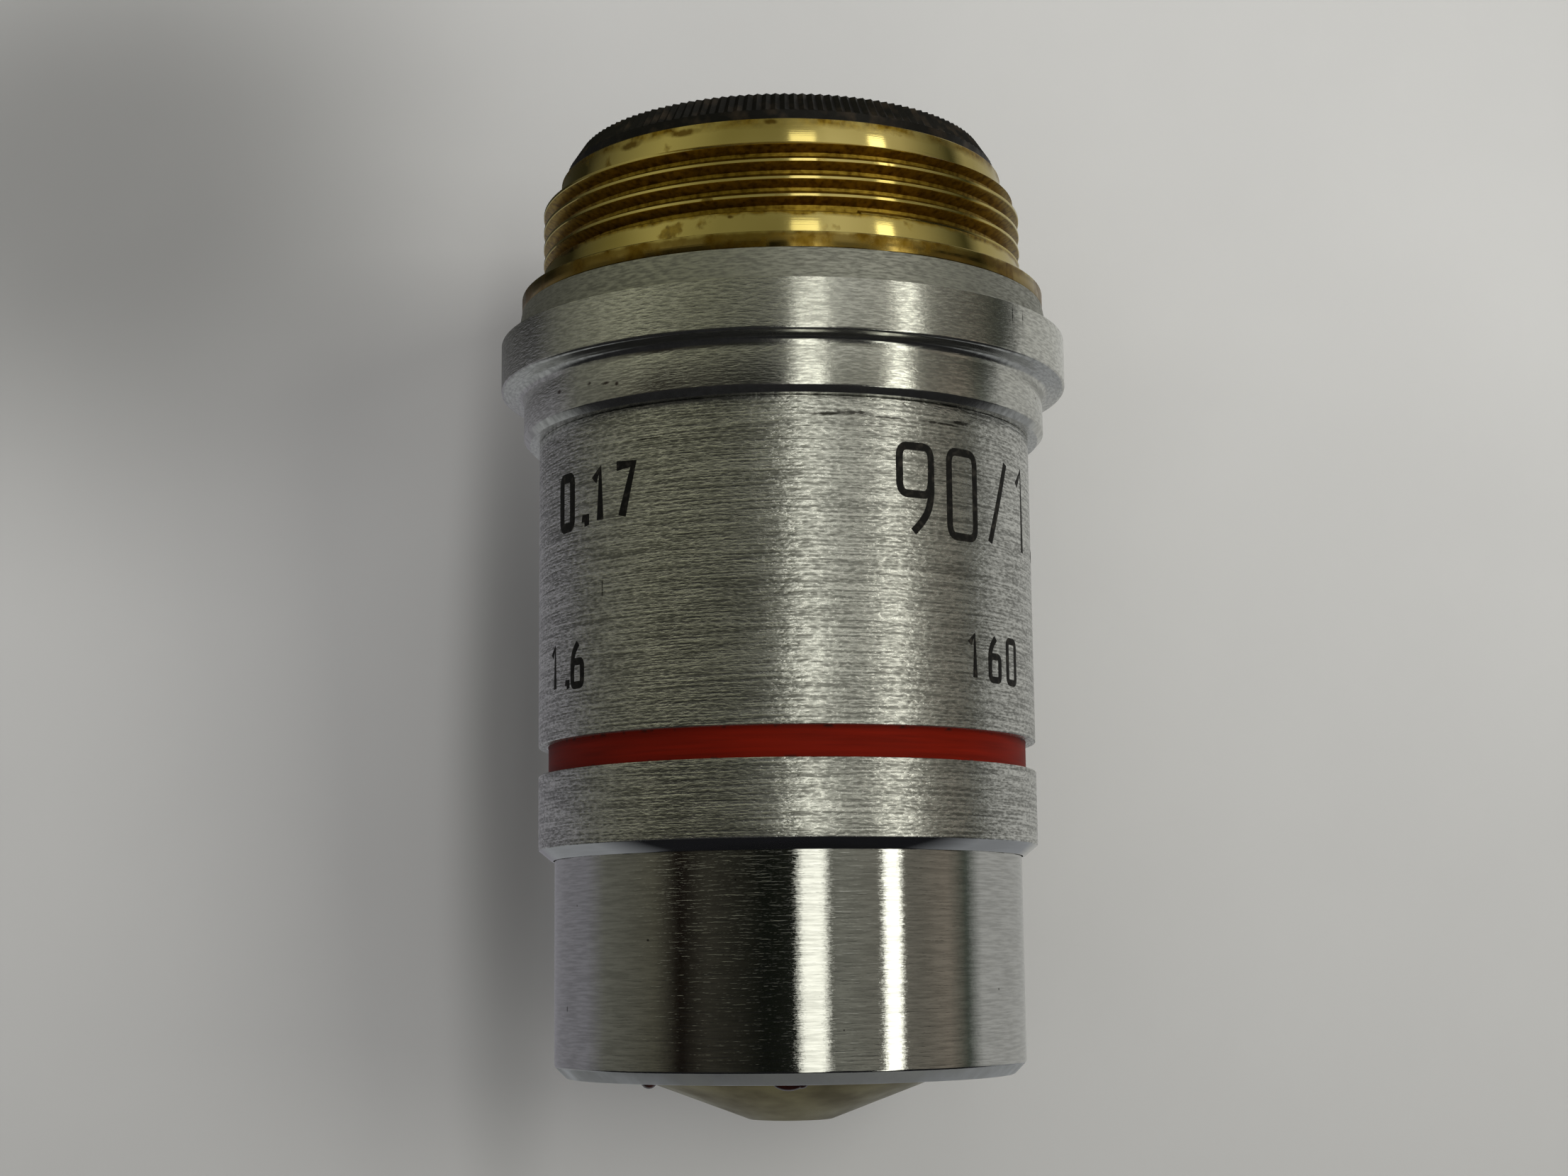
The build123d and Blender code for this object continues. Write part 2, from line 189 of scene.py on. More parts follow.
def aimLight(name, place, target, size, sizeY, power):
    data = bpy.data.lights.new(name, "AREA")
    data.shape = "RECTANGLE"
    data.size = size * mm
    data.size_y = sizeY * mm
    data.energy = power
    data.color = colour(lampTint)[:3]
    light = bpy.data.objects.new(name, data)
    scene.collection.objects.link(light)
    light.location = place * mm
    light.rotation_euler = (target - place).to_track_quat("-Z", "Y").to_euler()
    light.visible_camera = False
    return light


for strip in strips:
    for section, radiance in zip(stripSections, strip["radiances"]):
        width = 2 * section["distance"] * math.tan(math.radians(strip["width"] / 2))
        length = section["front"] - section["rear"]
        height = (section["front"] + section["rear"]) / 2
        stand = aroundAxis(strip["angle"], section["distance"], height)
        power = radiance * math.pi * width * length * mm * mm
        aimLight(strip["name"] + section["suffix"], stand, Vector((0, 0, height)), width, length, power)

softLight = aimLight("softBox", Vector(softBox["place"]), Vector(softBox["target"]), softBox["size"],
                     softBox["size"], softBox["power"])
softLight.visible_glossy = False

# studio round the object: walls by angle as for the lights, for level, rearward and lowest directions
# a "From" pair is the part of the direction over which one wall gives way to the next
room = {
    "level": [(-180, "#7e7d82"), (-115, "#7e7d82"), (-100, "#6a6a62"), (-68, "#565448"), (-54, "#120c08"),
              (-40, "#38362e"), (-12, "#12140f"), (4, "#181a14"), (24, "#808076"), (66, "#747066"),
              (82, "#847c70"), (95, "#4a5048"), (106, "#b0b0ac"), (180, "#a4a4a0")],
    "rear": [(-180, "#5c5d5f"), (-160, "#525251"), (-116, "#2c2c29"), (-106, "#5a5a54"), (-62, "#a8a896"),
             (-30, "#868676"), (0, "#80807a"), (24, "#bebeb4"), (54, "#98968c"), (59, "#242820"),
             (68, "#060a06"), (106, "#040804"), (111, "#bcbcb6"), (180, "#c0c0bc")],
    "lowest": [(-180, "#40403a"), (-122, "#24241e"), (-108, "#5a5a50"), (-62, "#98987e"), (-30, "#7c7c66"),
               (0, "#7e7e6c"), (24, "#c2c2b8"), (64, "#aeaca0"), (84, "#76766a"), (100, "#3a3c30"),
               (112, "#a4a49e"), (180, "#b4b4b0")],
    "rearFrom": (-0.185, -0.23), "lowestFrom": (-0.277, -0.291), "frontFrom": (0.12, 0.25),
    "frontAhead": "#1a1a1c", "frontBehind": "#8e9092", "behindFrom": (0.3, 0.55),
    "ambient": "#b8b8b4", "backdrop": "#c4c3be",
}


def makeWorld(setup):
    world = bpy.data.worlds.new("studio")
    scene.world = world
    world.use_nodes = True
    tree = world.node_tree
    tree.nodes.clear()
    x, y, z = addNode(tree, "SeparateXYZ", [addNode(tree, "TexCoord", out="Generated")]).node.outputs
    left = addNode(tree, "Math", [x, -1.0], operation="MULTIPLY")
    ahead = addNode(tree, "Math", [y, -1.0], operation="MULTIPLY")
    angle = addNode(tree, "Math", [left, ahead], operation="ARCTAN2")
    turnShare = addNode(tree, "MapRange", [angle, -math.pi, math.pi])
    walls = {}
    for name in ("level", "rear", "lowest"):
        walls[name] = addNode(tree, "ValToRGB", [turnShare])
        stops = walls[name].node.color_ramp.elements
        while len(stops) < len(setup[name]):
            stops.new(0.5)
        for stop, (degrees, shade) in zip(stops, setup[name]):
            stop.position = (degrees + 180) / 360
            stop.color = colour(shade)
    behind = addNode(tree, "MapRange", [y, *setup["behindFrom"]])
    frontShades = {0: behind, 6: setup["frontAhead"], 7: setup["frontBehind"]}
    walls["front"] = addNode(tree, "Mix", frontShades, **inColour)
    around = walls["level"]
    for name in ("rear", "lowest", "front"):
        share = addNode(tree, "MapRange", [z, *setup[name + "From"]])
        around = addNode(tree, "Mix", {0: share, 6: around, 7: walls[name]}, **inColour)
    rays = addNode(tree, "LightPath").node.outputs
    seen = addNode(tree, "Math", [rays["Is Camera Ray"], rays["Is Transmission Ray"]], operation="MAXIMUM")
    lit = addNode(tree, "Mix", {0: rays["Is Glossy Ray"], 6: setup["ambient"], 7: around}, **inColour)
    shade = addNode(tree, "Mix", {0: seen, 6: lit, 7: setup["backdrop"]}, **inColour)
    background = addNode(tree, "Background", {"Color": shade, "Strength": 1.0})
    addNode(tree, "OutputWorld", {"Surface": background})


makeWorld(room)

# table that the objective lies on: it touches the flange and the nose, and shows from its top side only
# its colour has painted shade that darkens towards the nose, and two painted soft shadows past the thread end
# and close beside the barrel
table = {
    "touch": (0, 11.87, 4.09), "slope": 0.0822, "size": 1400.0,
    "paper": "#d3d2d6", "mottle": "#cfced2", "mottleSize": 9.0, "toothSize": 0.5, "toothDepth": 0.01,
    "rough": 0.55, "specular": 0.25, "paintedShadeFrom": -2.0, "paintedShadeTo": 40.0, "paintedFrontShade": 0.71,
    "paintedShadows": [{"place": (33.0, 12.0, -10.0), "half": (27.0, 40.0, 24.0), "core": 0.85, "depth": 0.46},
              {"place": (12.6, 12.0, 17.0), "half": (3.7, 40.0, 27.0), "core": 0.85, "depth": 0.55}],
}


def tableTop(setup):
    # pale matt laminate with a faint mottle, multiplied by painted shade towards the nose and by painted soft
    # shadows
    material, tree, coords = newMaterial("coatedTableTop")
    cloud = addNode(tree, "TexNoise", {"Vector": coords, "Scale": lumps(setup["mottleSize"]), "Detail": 4.0})
    mottle = addNode(tree, "MapRange", [cloud, *midNoise])
    paper = addNode(tree, "Mix", {0: mottle, 6: setup["paper"], 7: setup["mottle"]}, **inColour)
    # painted shade: the paper colour darkens from the rear end towards the nose
    height = addNode(tree, "SeparateXYZ", [coords], "Z")
    limits = metres((setup["paintedShadeFrom"], setup["paintedShadeTo"]))
    shade = addNode(tree, "MapRange", [height, *limits, 1.0, setup["paintedFrontShade"]])
    # painted shadows: each is a soft ball on the table that darkens the paper colour
    for paintedShadow in setup["paintedShadows"]:
        ball = softBall(tree, coords, paintedShadow["place"], paintedShadow["half"])
        paintedShadowShade = addNode(tree, "MapRange", [ball, 0.0, paintedShadow["core"], 1.0, paintedShadow["depth"]],
                       interpolation_type="SMOOTHSTEP")
        shade = addNode(tree, "Math", [shade, paintedShadowShade], operation="MULTIPLY")
    # the paper colour takes the painted shade and the painted shadows
    paper = addNode(tree, "Mix", {0: 1.0, 6: paper, 7: shade}, blend_type="MULTIPLY", **inColour)
    tooth = addNode(tree, "TexNoise", {"Vector": coords, "Scale": lumps(setup["toothSize"]), "Detail": 3.0})
    bump = addNode(tree, "Bump", {"Height": tooth, "Distance": setup["toothDepth"] * mm})
    shader = addNode(tree, "BsdfPrincipled", {"Base Color": paper, "Roughness": setup["rough"],
                                              "Specular IOR Level": setup["specular"], "Normal": bump})
    underside = addNode(tree, "NewGeometry", out="Backfacing")
    both = addNode(tree, "MixShader", [underside, shader, addNode(tree, "BsdfTransparent")])
    addNode(tree, "OutputMaterial", {"Surface": both})
    return material


def makeTable(setup):
    bm = bmesh.new()
    bmesh.ops.create_grid(bm, x_segments=2, y_segments=2, size=setup["size"] / 2 * mm)
    tilt = Matrix.Rotation(math.radians(90) + math.atan(setup["slope"]), 4, "X")
    bmesh.ops.transform(bm, verts=bm.verts, matrix=Matrix.Translation(Vector(setup["touch"]) * mm) @ tilt)
    mesh = bpy.data.meshes.new("tableTop")
    bm.to_mesh(mesh)
    bm.free()
    mesh.materials.append(tableTop(setup))
    top = bpy.data.objects.new("tableTop", mesh)
    scene.collection.objects.link(top)
    top.visible_shadow = False
    top.visible_glossy = False
    top.visible_diffuse = False
    top.visible_transmission = False


makeTable(table)
print("stage set")

tiny = 1e-8  # doubles closer than this are merged, in metres
near = 1e-3  # a vertex this close to a corner belongs to it, in millimetres


# a closed wire of (radius, height) corners in millimetres, ready to spin round the axis
def addWire(bm, corners, lift=0.0):
    verts = [bm.verts.new((r * mm, 0, (lift + z) * mm)) for r, z in corners]
    edges = [bm.edges.new((verts[i], verts[(i + 1) % len(verts)])) for i in range(len(verts))]
    return verts, edges


def radius(vert):
    return math.hypot(vert.co.x, vert.co.y) / mm


def onCorner(vert, corner):
    return abs(radius(vert) - corner[0]) < near and abs(vert.co.z / mm - corner[1]) < near


# a turned piece; breaks gives the widths of broken edges with the corners that have them
def turned(outline, steps=256, breaks=None, segments=3):
    bm = bmesh.new()
    verts, edges = addWire(bm, outline)
    bmesh.ops.spin(bm, geom=verts + edges, cent=(0, 0, 0), axis=(0, 0, 1), angle=2 * math.pi, steps=steps,
                   use_merge=True)
    bmesh.ops.remove_doubles(bm, verts=bm.verts, dist=tiny)
    bmesh.ops.recalc_face_normals(bm, faces=bm.faces)
    for width, corners in (breaks or {}).items():
        chosen = [e for e in bm.edges if any(all(onCorner(v, outline[c]) for v in e.verts) for c in corners)]
        bmesh.ops.bevel(bm, geom=chosen, offset=width * mm, offset_type="OFFSET", segments=segments,
                        profile=0.5, affect="EDGES", clamp_overlap=True, material=-1)
    return bm


# faces with their middle between two heights take the second material
def secondFinish(bm, low, high):
    for face in bm.faces:
        if low < face.calc_center_median().z / mm < high:
            face.material_index = 1


# cuts off what lies past a level plane and gives the edges of the cut
def cutPast(bm, height, way):
    everything = bm.verts[:] + bm.edges[:] + bm.faces[:]
    cut = bmesh.ops.bisect_plane(bm, geom=everything, plane_co=(0, 0, height * mm), plane_no=(0, 0, way),
                                 clear_outer=True)
    return [g for g in cut["geom_cut"] if isinstance(g, bmesh.types.BMEdge)]


# makes the object, with crisp edges where two faces meet at more than the given angle
def addPiece(name, bm, body, materials, replaced=(), crisp=32.0):
    bmesh.ops.remove_doubles(bm, verts=bm.verts, dist=tiny)
    bmesh.ops.recalc_face_normals(bm, faces=bm.faces)
    mesh = bpy.data.meshes.new(name)
    bm.to_mesh(mesh)
    bm.free()
    mesh.shade_smooth()
    mesh.set_sharp_from_angle(angle=math.radians(crisp))
    for material in materials:
        mesh.materials.append(material)
    piece = bpy.data.objects.new(name, mesh)
    scene.collection.objects.link(piece)
    weighted = piece.modifiers.new("evenNormals", "WEIGHTED_NORMAL")
    weighted.keep_sharp = True
    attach(piece, body)
    if replaced:
        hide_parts(*replaced)
    return piece


# rear ring, black with straight serrations on its bevel
rearRing = {
    "outline": [(7.0, -6.35), (8.54, -6.35), (9.1, -5.5), (9.1, -5.47), (9.1, -5.05), (8.12, -5.05),
                (8.12, -3.1), (6.6, -3.1), (6.6, -5.95)],
    "serrations": 150, "notches": {1: 0.17, 2: 0.1}, "crisp": 24,
    "black": "#171513", "glint": "#3a3128", "rubSize": 0.35, "rubFrom": (0.5, 0.72), "satinSize": 0.2,
    "rough": (0.34, 0.55), "metallic": 0.65, "feed": 0.12, "feedStreak": 1.5, "feedDepth": 0.004,
}


def blackOxide(setup):
    # chemically blackened brass: near black, satin, rubbed to brown on the ridges
    material, tree, coords = newMaterial("blackenedBrass")
    rub = addNode(tree, "TexNoise", {"Vector": coords, "Scale": lumps(setup["rubSize"]), "Detail": 4.0})
    rubbed = addNode(tree, "MapRange", [rub, *setup["rubFrom"]])
    tint = addNode(tree, "Mix", {0: rubbed, 6: setup["black"], 7: setup["glint"]}, **inColour)
    satin = addNode(tree, "TexNoise", {"Vector": coords, "Scale": lumps(setup["satinSize"]), "Detail": 3.0})
    rough = addNode(tree, "MapRange", [satin, *wideNoise, *setup["rough"]])
    marks = turnedMarks(tree, coords, setup["feed"], setup["feedStreak"])
    bump = addNode(tree, "Bump", {"Height": marks, "Distance": setup["feedDepth"] * mm})
    closeMaterial(tree, {"Base Color": tint, "Metallic": setup["metallic"], "Roughness": rough,
                         "Normal": bump})
    return material


def makeRearRing(setup):
    steps = 2 * setup["serrations"]
    bm = turned(setup["outline"], steps=steps)
    for v in bm.verts:
        step = round(math.atan2(v.co.y, v.co.x) / (2 * math.pi) * steps)
        for corner, depth in setup["notches"].items():
            if step % 2 and onCorner(v, setup["outline"][corner]):
                v.co.xy *= 1 - depth / setup["outline"][corner][0]
    addPiece("rearRing", bm, "body", [blackOxide(setup)], ["rear_ring"], crisp=setup["crisp"])


makeRearRing(rearRing)
print("rear ring made")

# brass mount: pilot, helical thread, plain land and seat flange
# a pair of heights or radii is where a tarnished band starts and where it is full
mount = {
    "outline": [(8.15, -5.05), (9.35, -5.05), (9.35, -4.1), (9.65, -3.98), (9.65, -1.2), (10.1, -1.05),
                (10.1, -0.1), (10.2, 0), (11.0, 0), (11.0, 0.65), (9.3, 0.65), (9.3, 11.74), (9.0, 12.04),
                (6.91, 12.04), (6.91, 7.04), (7.91, 7.04), (7.91, -3.1), (8.15, -3.1)],
    "breaks": {0.06: [1], 0.05: [8, 9], 0.04: [5]}, "crisp": 31,  # broken edges turn by 30 at each step
    "ridge": [(9.6, -0.315), (10.04, -0.085), (10.1, -0.05), (10.1, 0.05), (10.04, 0.085), (9.6, 0.315)],
    "pitch": 0.7056, "crest": -2.4, "turnsToRear": 2.75, "turns": 4.7, "stepsPerTurn": 160,
    "crestRadius": 10.1, "leadRadius": 10.09, "leadFrom": -3.8, "leadSlope": 2.5,
    "landRadius": 10.06, "landFrom": -1.1,
    "brass": "#e0cc82", "dull": "#b29e50", "tarnish": "#a88a34", "stain": "#6c5016",
    "blotchSize": 0.55, "fineSize": 0.12, "wideSize": 3.0, "ragged": 0.5, "rimStrength": 0.7,
    "rearEdge": (-4.62, -4.86), "threadStart": (-4.02, -3.92), "threadEnd": (-0.86, -1.0),
    "groove": (10.085, 10.06), "ridges": (-1.04, -1.1), "rim": (-0.05, 0.12),
    "mottleFrom": (0.42, 0.6), "patchFrom": (0.38, 0.55), "freckleFrom": (0.63, 0.7), "brownFrom": (0.4, 0.7),
    "rough": (0.1, 0.34), "feed": 0.1, "feedStreak": 5.0, "feedDepth": 0.0016, "blotchDepth": 0.003,
    "specks": [(-11.2, 10.1, -0.88, 0.17, 0.09), (-2.3, 9.35, -4.9, 0.35, 0.16),
               (-24.0, 9.35, -4.75, 0.9, 0.2), (-40.0, 9.35, -4.7, 0.7, 0.22),
               (-58.0, 10.1, -0.95, 1.2, 0.16)],
}


def bareBrass(setup):
    # turned brass: bright on the lands, brown tarnish in the thread, at the rear edge and on the flange's rim
    material, tree, coords = newMaterial("turnedBrass")
    height = addNode(tree, "SeparateXYZ", [coords], "Z")
    blotch = addNode(tree, "TexNoise", {"Vector": coords, "Scale": lumps(setup["blotchSize"]), "Detail": 5.0})
    fine = addNode(tree, "TexNoise", {"Vector": coords, "Scale": lumps(setup["fineSize"]), "Detail": 3.0})
    wide = addNode(tree, "TexNoise", {"Vector": coords, "Scale": lumps(setup["wideSize"]), "Detail": 2.0})
    # each band is 1 inside its heights, and the blotches make the edges of some ragged
    lift = setup["ragged"] * mm
    ragged = addNode(tree, "Math", [blotch, lift, -lift / 2], operation="MULTIPLY_ADD")
    wavy = addNode(tree, "Math", [height, ragged], operation="ADD")
    rearEdge = addNode(tree, "MapRange", [wavy, *metres(setup["rearEdge"])])
    threadStart = addNode(tree, "MapRange", [height, *metres(setup["threadStart"])])
    threadEnd = addNode(tree, "MapRange", [wavy, *metres(setup["threadEnd"])])
    groove = addNode(tree, "MapRange", [reach(tree, coords), *metres(setup["groove"])])
    ridges = addNode(tree, "MapRange", [height, *metres(setup["ridges"])])
    rim = addNode(tree, "MapRange", [wavy, *metres(setup["rim"])])
    between = addNode(tree, "Math", [groove, ridges], operation="MULTIPLY")
    strip = addNode(tree, "Math", [threadEnd, ridges], operation="SUBTRACT")
    inThread = addNode(tree, "Math", [between, strip], operation="MAXIMUM")
    inThread = addNode(tree, "Math", [inThread, threadStart], operation="MULTIPLY")
    mottled = addNode(tree, "MapRange", [blotch, *setup["mottleFrom"], 0.15, 1.0])
    rimStain = addNode(tree, "Math", [rim, mottled], operation="MULTIPLY")
    patchy = addNode(tree, "MapRange", [blotch, *setup["patchFrom"], 0.25, 1.0])
    edgeStain = addNode(tree, "Math", [rearEdge, patchy], operation="MULTIPLY")
    freckles = addNode(tree, "MapRange", [blotch, *setup["freckleFrom"], 0.0, 0.8])
    stained = inThread
    for more in (rimStain, edgeStain, freckles):
        stained = addNode(tree, "Math", [stained, more], operation="MAXIMUM")
    broken = addNode(tree, "MapRange", [fine, *lowNoise, 0.5, 1.0])
    specks = spots(tree, coords, setup["specks"], broken)
    dulled = addNode(tree, "MapRange", [wide, *midNoise, 0.0, 0.8])
    clean = addNode(tree, "Mix", {0: dulled, 6: setup["brass"], 7: setup["dull"]}, **inColour)
    browned = addNode(tree, "MapRange", [fine, *setup["brownFrom"]])
    brown = addNode(tree, "Mix", {0: browned, 6: setup["tarnish"], 7: setup["stain"]}, **inColour)
    tint = addNode(tree, "Mix", {0: stained, 6: clean, 7: brown}, **inColour)
    rimShare = addNode(tree, "Math", [rim, setup["rimStrength"]], operation="MULTIPLY")
    for share in (rimShare, specks):
        tint = addNode(tree, "Mix", {0: share, 6: tint, 7: setup["stain"]}, **inColour)
    rough = addNode(tree, "MapRange", [stained, 0.0, 1.0, *setup["rough"]])
    feed = turnedMarks(tree, coords, setup["feed"], setup["feedStreak"])
    marks = addNode(tree, "Bump", {"Height": feed, "Distance": setup["feedDepth"] * mm})
    bump = addNode(tree, "Bump", {"Height": blotch, "Distance": setup["blotchDepth"] * mm, "Normal": marks})
    closeMaterial(tree, {"Base Color": tint, "Metallic": 1.0, "Roughness": rough, "Normal": bump})
    return material


def makeMount(setup):
    bm = turned(setup["outline"], breaks=setup["breaks"])
    plain = set(bm.verts)
    steps = setup["stepsPerTurn"]
    count = int(steps * setup["turns"])
    verts, edges = addWire(bm, setup["ridge"], setup["crest"] - setup["pitch"] * setup["turnsToRear"])
    bmesh.ops.contextual_create(bm, geom=edges)
    grown = bmesh.ops.spin(bm, geom=verts + edges, cent=(0, 0, 0), axis=(0, 0, 1),
                           angle=2 * math.pi * count / steps, steps=count,
                           dvec=(0, 0, setup["pitch"] / steps * mm))
    lastEdges = [g for g in grown["geom_last"] if isinstance(g, bmesh.types.BMEdge)]
    bmesh.ops.contextual_create(bm, geom=lastEdges)
    # the ridge runs out in the lead chamfer and under the plain land
    for v in bm.verts:
        if v in plain:
            continue
        z = v.co.z / mm
        top = setup["crestRadius"]
        if z < setup["leadFrom"]:
            top = setup["leadRadius"] - (setup["leadFrom"] - z) * setup["leadSlope"]
        if z > setup["landFrom"]:
            top = setup["landRadius"]
        if radius(v) > top:
            v.co.xy *= top / radius(v)
    brass = bareBrass(setup)
    addPiece("threadMount", bm, "body", [brass], ["thread_mount"], crisp=setup["crisp"])


makeMount(mount)
print("brass mount made")

# shared by the bright chrome finishes, whose pitches are drawn coarser than real feed marks, to show
chromeWear = {
    "groove": "#6e6e6a", "grooveFrom": (0.38, 0.62), "glitterSize": 0.09,
    "rust": "#2e1208", "scuff": "#24201c", "scuffFrom": (0.35, 0.6),
    "roughFrom": (0.25, 0.75), "smoothest": 0.75, "roughest": 1.3, "quarterTurn": 0.25,
}


def brightChrome(name, finish):
    # chrome plate on a fine turned surface: bright, with streaks round the axis that break the reflections
    material, tree, coords = newMaterial(name)
    marks = turnedMarks(tree, coords, finish["pitch"], finish["streak"], 3.0)
    fine = lumps(chromeWear["glitterSize"])
    glitter = addNode(tree, "TexNoise", {"Vector": coords, "Scale": fine, "Detail": 2.0})
    shade = addNode(tree, "MapRange", [marks, *chromeWear["grooveFrom"], 0.0, finish["contrast"]])
    tint = addNode(tree, "Mix", {0: shade, 6: finish["tint"], 7: chromeWear["groove"]}, **inColour)
    if "rust" in finish:
        broken = addNode(tree, "MapRange", [glitter, *lowNoise, 0.4, 1.0])
        rusty = spots(tree, coords, finish["rust"], broken)
        tint = addNode(tree, "Mix", {0: rusty, 6: tint, 7: chromeWear["rust"]}, **inColour)
    if "scuffs" in finish:
        broken = addNode(tree, "MapRange", [marks, *chromeWear["scuffFrom"], 0.3, 1.0])
        scuffed = spots(tree, coords, finish["scuffs"], broken)
        tint = addNode(tree, "Mix", {0: scuffed, 6: tint, 7: chromeWear["scuff"]}, **inColour)
    limits = (finish["rough"] * chromeWear["smoothest"], finish["rough"] * chromeWear["roughest"])
    rough = addNode(tree, "MapRange", [marks, *chromeWear["roughFrom"], *limits])
    depth = finish["depth"] * mm
    lines = addNode(tree, "Bump", {"Height": marks, "Distance": depth})
    glitterDepth = depth * finish["glitter"]
    bump = addNode(tree, "Bump", {"Height": glitter, "Distance": glitterDepth, "Normal": lines})
    tangent = addNode(tree, "Tangent", direction_type="RADIAL", axis="Z")
    closeMaterial(tree, {"Base Color": tint, "Metallic": 1.0, "Roughness": rough,
                         "Anisotropic": finish["drawn"], "Anisotropic Rotation": chromeWear["quarterTurn"],
                         "Tangent": tangent, "Normal": bump})
    return material


# shoulder ring: satin land, finger flange and collar
shoulder = {
    "outline": [(9.33, 0.65), (11.0, 0.65), (11.25, 2.03), (11.85, 2.03), (11.85, 4.09), (10.9, 4.09),
                (10.9, 4.5), (10.9, 5.98), (10.66, 6.24), (9.33, 6.24)],
    "breaks": {0.03: [3], 0.14: [4], 0.3: [5], 0.04: [7]}, "landTo": 2.02,
    "chrome": {
        "tint": "#dcdcd6", "rough": 0.17, "drawn": 0.0, "pitch": 0.16, "streak": 0.4, "depth": 0.009,
        "glitter": 0.15, "contrast": 0.45,
        "rust": [(-54.8, 10.9, 5.14, 0.22, 0.12), (-44.2, 10.9, 5.17, 0.16, 0.1),
                 (-39.5, 10.9, 5.3, 0.3, 0.09), (-36.3, 10.9, 5.41, 0.14, 0.1),
                 (71.0, 10.9, 5.0, 0.12, 0.08)],
        "scuffs": [(50.0, 11.85, 2.55, 0.06, 0.5), (53.5, 11.85, 2.5, 0.05, 0.36)],
    },
    "land": {"tint": "#bcbcb5", "rough": 0.52, "drawn": 0.0, "pitch": 0.18, "streak": 0.4, "depth": 0.012,
             "glitter": 0.4, "contrast": 0.5},
}


def makeShoulder(setup):
    bm = turned(setup["outline"], breaks=setup["breaks"])
    secondFinish(bm, 0.0, setup["landTo"])
    chrome = brightChrome("turnedChrome", setup["chrome"])
    land = brightChrome("brushedChromeLand", setup["land"])
    addPiece("shoulderRing", bm, "body", [chrome, land], ["shoulder_ring"])


makeShoulder(shoulder)
print("shoulder ring made")

# barrel sleeve: satin, with a groove for the enamel and a polished mouth
barrel = {
    "outline": [(9.33, 6.24), (10.25, 6.24), (10.25, 18.86), (9.76, 18.86), (9.76, 20.08), (10.25, 20.08),
                (10.25, 23.06), (9.72, 23.5), (9.64, 23.5), (9.64, 20.35), (9.33, 20.35)],
    "breaks": {0.05: [1], 0.03: [2, 5, 6]}, "steps": 320, "mouthFrom": 23.08,
    "chrome": "#e6e6e2", "groove": "#8c8c88", "scuff": "#1d1813", "rough": (0.24, 0.34), "depth": 0.045,
    "ringPitch": 0.16, "ringStreak": 3.0, "ringShare": 0.45,  # real rings are 0.115 mm apart, coarser to show
    "sparklePitch": 0.15, "sparkleStreak": 0.28, "sparkleShare": 0.55, "grooveFrom": (0.4, 0.6),
    "scuffs": [(9.5, 10.25, 6.97, 0.9, 0.12), (15.5, 10.25, 6.9, 1.3, 0.1), (23.0, 10.25, 7.02, 1.4, 0.05),
               (36.0, 10.25, 7.02, 1.5, 0.07), (43.0, 10.25, 6.86, 0.8, 0.12), (-31.0, 10.25, 7.6, 1.0, 0.05),
               (-44.0, 10.25, 13.2, 0.06, 0.5)],
    "mouth": {"tint": "#cfd0d0", "rough": 0.06, "drawn": 0.2, "pitch": 0.12, "streak": 4.0, "depth": 0.0006,
              "glitter": 0.3, "contrast": 0.2},
}


def satinChrome(setup):
    # chrome over a coarse turned surface: satin, with fine even rings and a grainy sparkle
    material, tree, coords = newMaterial("satinTurnedChrome")
    rings = turnedMarks(tree, coords, setup["ringPitch"], setup["ringStreak"], 1.0)
    sparkle = turnedMarks(tree, coords, setup["sparklePitch"], setup["sparkleStreak"], 2.0)
    ringPart = addNode(tree, "Math", [rings, setup["ringShare"]], operation="MULTIPLY")
    sparklePart = addNode(tree, "Math", [sparkle, setup["sparkleShare"]], operation="MULTIPLY")
    marks = addNode(tree, "Math", [ringPart, sparklePart], operation="ADD")
    shade = addNode(tree, "MapRange", [marks, *setup["grooveFrom"]])
    tint = addNode(tree, "Mix", {0: shade, 6: setup["chrome"], 7: setup["groove"]}, **inColour)
    broken = addNode(tree, "MapRange", [sparkle, *lowNoise, 0.35, 1.0])
    scuffed = spots(tree, coords, setup["scuffs"], broken)
    tint = addNode(tree, "Mix", {0: scuffed, 6: tint, 7: setup["scuff"]}, **inColour)
    rough = addNode(tree, "MapRange", [sparkle, *wideNoise, *setup["rough"]])
    bump = addNode(tree, "Bump", {"Height": marks, "Distance": setup["depth"] * mm})
    closeMaterial(tree, {"Base Color": tint, "Metallic": 1.0, "Roughness": rough, "Normal": bump})
    return material


def makeBarrel(setup):
    bm = turned(setup["outline"], steps=setup["steps"], breaks=setup["breaks"])
    secondFinish(bm, setup["mouthFrom"], math.inf)
    satin = satinChrome(setup)
    mouth = brightChrome("polishedChromeEdge", setup["mouth"])
    addPiece("barrelSleeve", bm, "body", [satin, mouth], ["barrel_sleeve"])


makeBarrel(barrel)
print("barrel made")

# enamel band in the barrel's groove, with a slight meniscus at both walls
band = {
    "outline": [(9.76, 18.86), (9.86, 18.86), (9.845, 18.95), (9.84, 19.1), (9.84, 19.84), (9.845, 19.99),
                (9.86, 20.08), (9.76, 20.08)],
    "red": "#691204", "deep": "#570e03", "brushPitch": 0.35, "brushStreak": 4.0, "brushDepth": 0.006,
    "chip": "#22120e", "chipSize": 0.25, "chipFrom": (0.56, 0.64), "middle": 19.47, "edge": (0.48, 0.6),
    "rough": 0.5, "ior": 1.52, "specular": 0.05,
}


